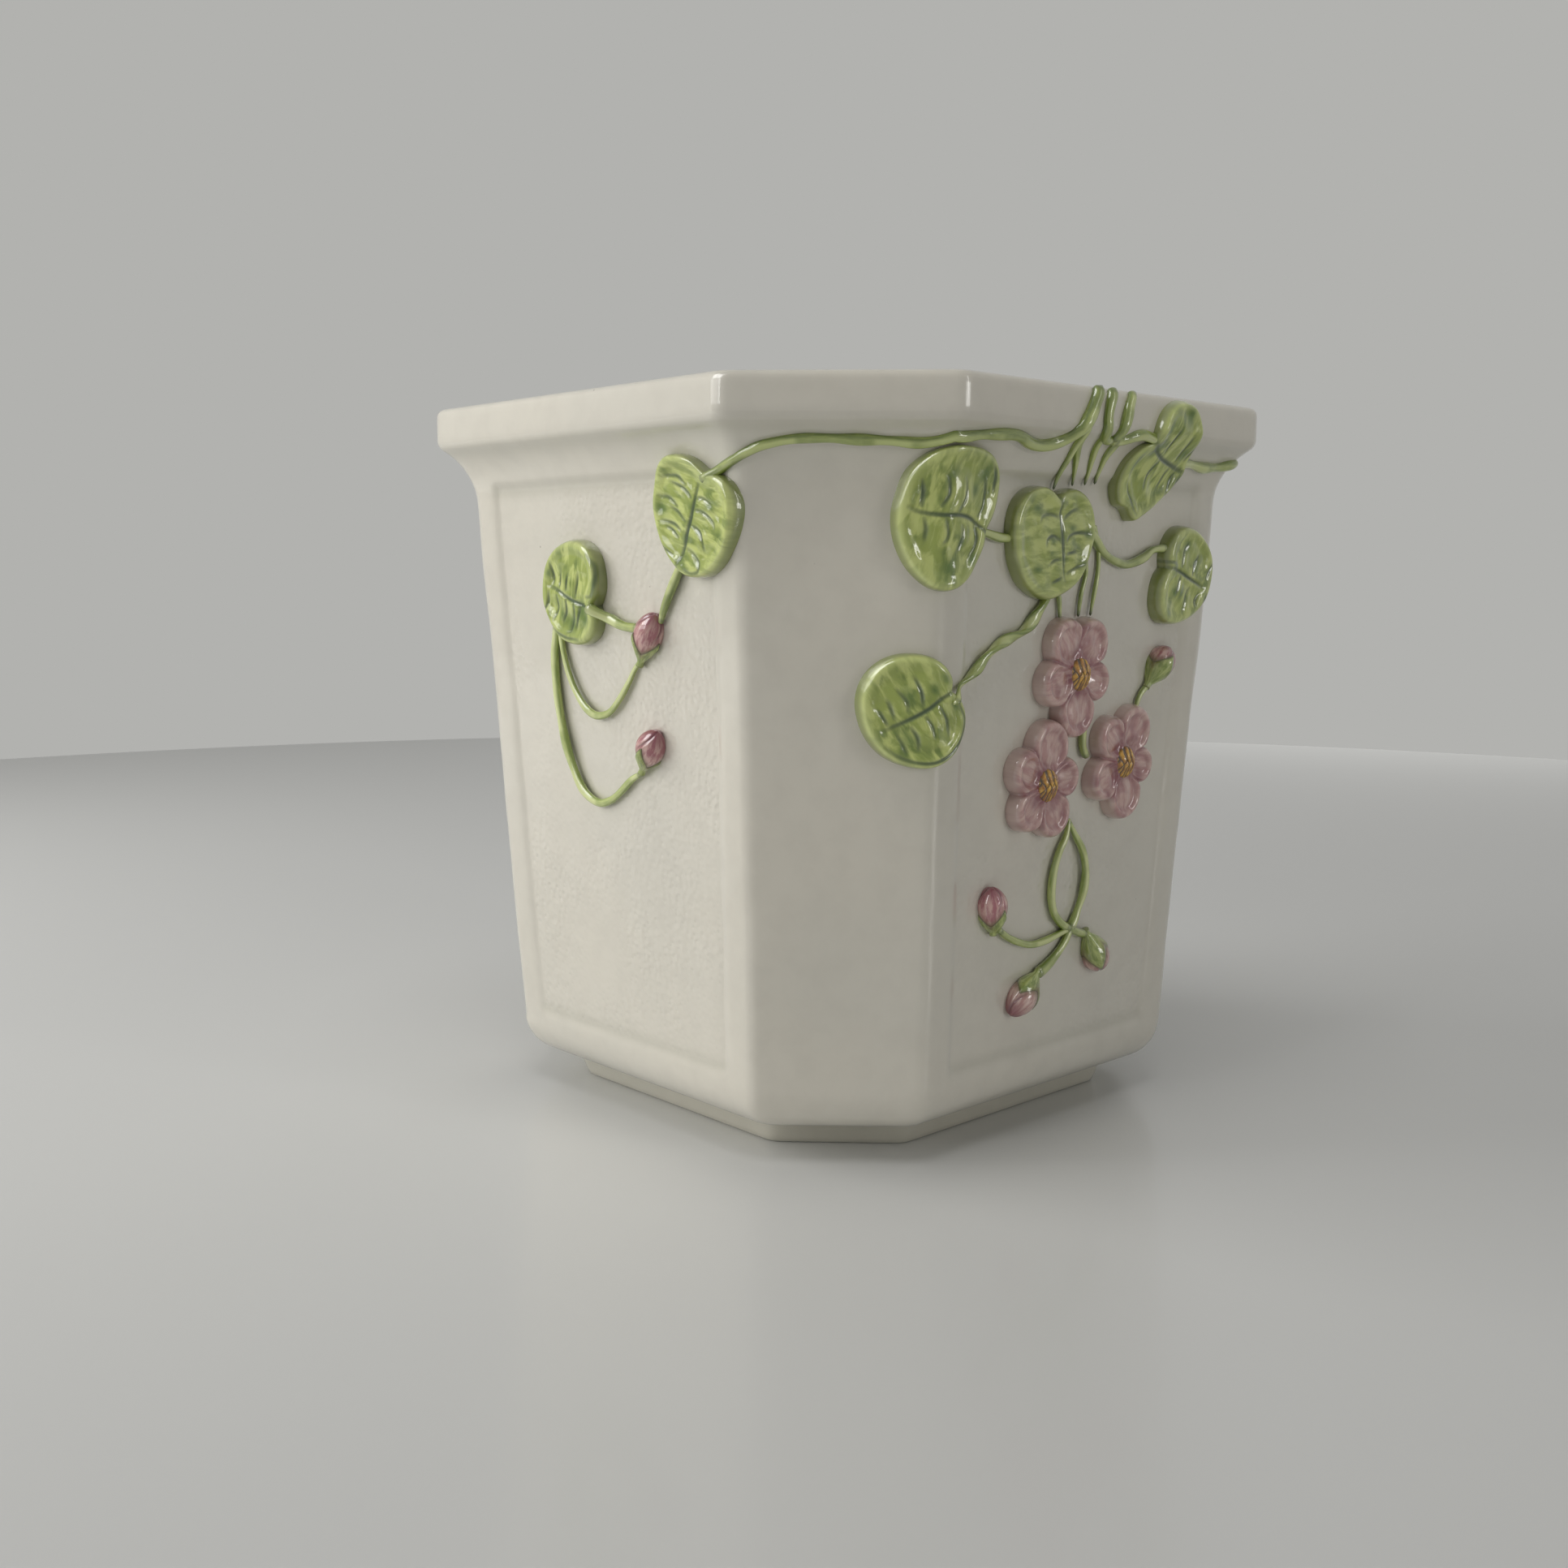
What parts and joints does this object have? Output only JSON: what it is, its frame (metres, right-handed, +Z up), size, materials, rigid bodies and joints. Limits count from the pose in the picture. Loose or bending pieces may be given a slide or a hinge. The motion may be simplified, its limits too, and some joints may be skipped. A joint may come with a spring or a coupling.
{
  "type": "cachepot",
  "caption": "Octagonal glazed ceramic cachepot with a stepped rim, recessed side panels and a raised trailing vine of round leaves, open flowers and buds.",
  "frame": {"origin": "Middle of the foot, on the plane that the pot stands on.", "axes": "+Z is up. The four wide faces look along +X, -X, +Y and -Y. The face with the three flowers looks along -Y, the face with the hanging loops looks along -X."},
  "size_m": [0.2174, 0.221, 0.21],
  "materials": {
    "white_glaze": "glossy off-white glaze, slightly warm, with faint pinholes and pooling",
    "leaf_green": "glossy brushed yellow-green underglaze, darker in the veins",
    "stem_green": "glossy brushed green underglaze",
    "petal_pink": "glossy dusty pink underglaze with darker rose strokes",
    "centre_ochre": "glossy ochre underglaze with dark brown lines",
    "bud_rose": "glossy rose underglaze with darker brush strokes",
    "calyx_green": "glossy dark green underglaze"
  },
  "bodies": {
    "root": {"bud_front_left": "bud_rose", "bud_front_left_calyx": "calyx_green", "bud_front_low": "bud_rose", "bud_front_low_calyx": "calyx_green", "bud_front_middle": "bud_rose", "bud_front_middle_calyx": "calyx_green", "bud_front_right": "bud_rose", "bud_front_right_calyx": "calyx_green", "bud_left_lower": "bud_rose", "bud_left_lower_calyx": "calyx_green", "bud_left_upper": "bud_rose", "bud_left_upper_calyx": "calyx_green", "bud_right_lower": "bud_rose", "bud_right_lower_calyx": "calyx_green", "bud_right_upper": "bud_rose", "bud_right_upper_calyx": "calyx_green", "flower_left_centre": "centre_ochre", "flower_left_petals": "petal_pink", "flower_right_centre": "centre_ochre", "flower_right_petals": "petal_pink", "flower_stems": "stem_green", "flower_tail": "stem_green", "flower_top_centre": "centre_ochre", "flower_top_petals": "petal_pink", "hanging_tips": "stem_green", "leaf_corner_lower": "leaf_green", "leaf_corner_upper": "leaf_green", "leaf_front_right": "leaf_green", "leaf_heart": "leaf_green", "leaf_left_lower": "leaf_green", "leaf_left_upper": "leaf_green", "leaf_over_rim": "leaf_green", "leaf_right": "leaf_green", "loop_below_left": "stem_green", "loop_below_right": "stem_green", "loop_left_inner": "stem_green", "loop_left_outer": "stem_green", "pot_body": "white_glaze", "rim_loop_middle": "stem_green", "rim_loop_right": "stem_green", "stem_bud_far_lower": "stem_green", "stem_bud_far_upper": "stem_green", "stem_bud_front_left": "stem_green", "stem_bud_front_low": "stem_green", "stem_bud_front_middle": "stem_green", "stem_bud_right": "stem_green", "stem_corner_leaf_to_heart": "stem_green", "stem_heart_to_right_leaf": "stem_green", "stem_leaf_to_bud": "stem_green", "stem_leaf_to_bud_low": "stem_green", "stem_twisted": "stem_green", "vine": "stem_green", "vine_round_right_corner": "stem_green", "vine_to_rim_leaf": "stem_green"}
  },
  "joints": []
}
